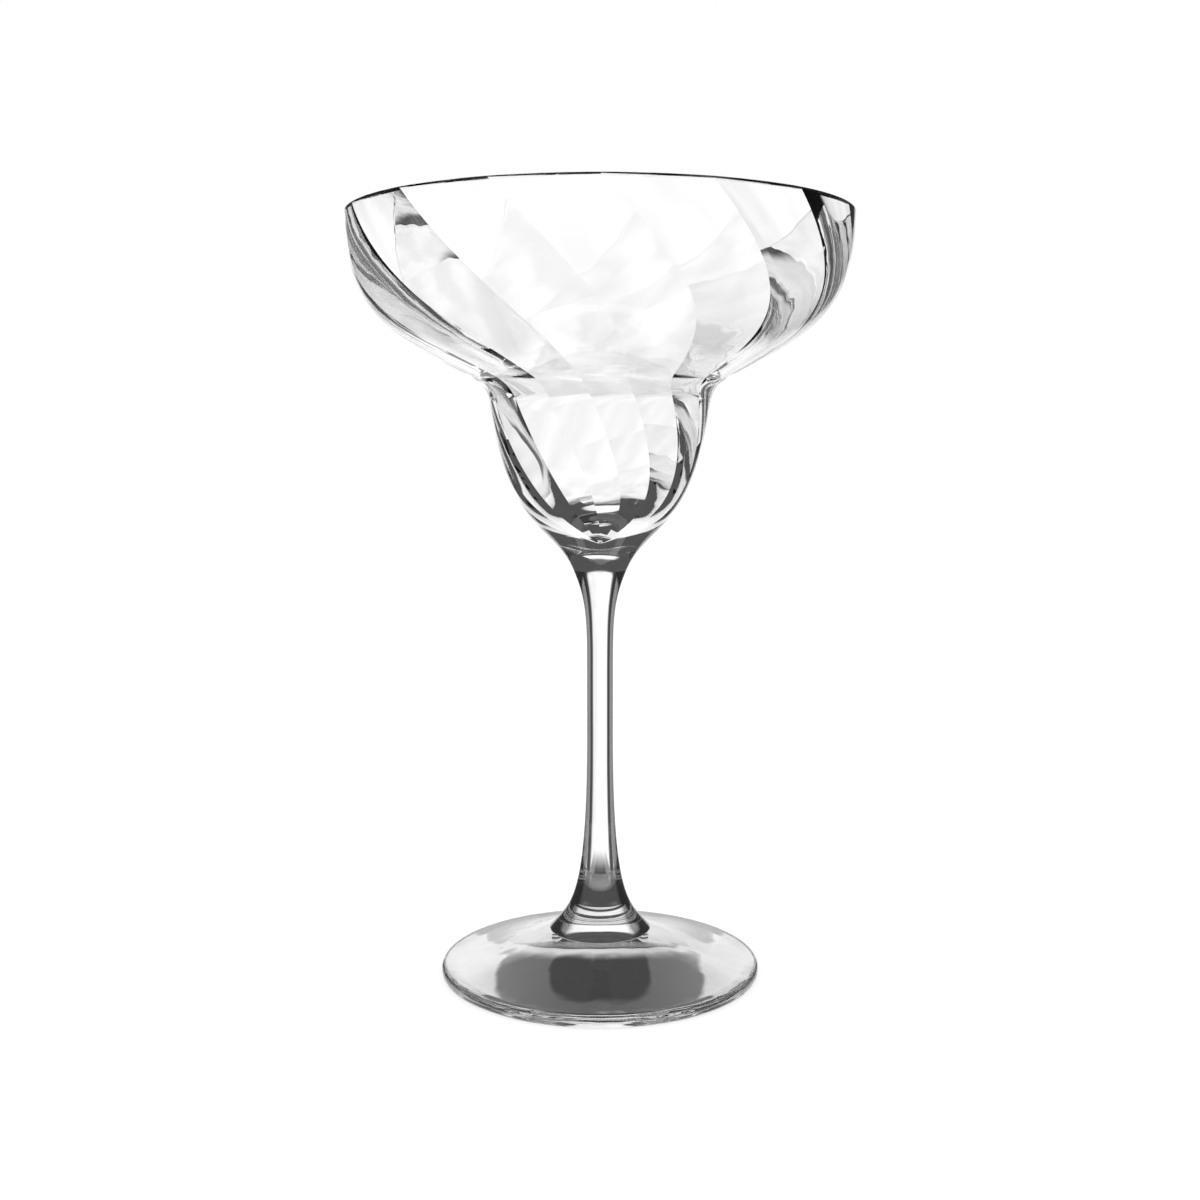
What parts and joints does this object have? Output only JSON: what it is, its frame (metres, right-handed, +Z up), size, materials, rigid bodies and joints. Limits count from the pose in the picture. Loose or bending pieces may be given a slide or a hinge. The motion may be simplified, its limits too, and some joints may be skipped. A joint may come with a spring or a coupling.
{
  "type": "margarita glass",
  "caption": "Stemmed cocktail glass with a wide stepped bowl, spiral flutes on its inside, a slender stem and a round foot.",
  "frame": {"origin": "centre of the ring that the foot stands on", "axes": "+Z up along the axis of the stem; one ridge of the flutes meets the rim at -Y"},
  "size_m": [0.1204, 0.1204, 0.185],
  "materials": {
    "bowl_glass": "clear, polished",
    "stem_glass": "clear, polished",
    "foot_glass": "clear, polished"
  },
  "bodies": {
    "root": {"bowl": "bowl_glass", "stem": "stem_glass", "foot": "foot_glass"}
  },
  "joints": []
}
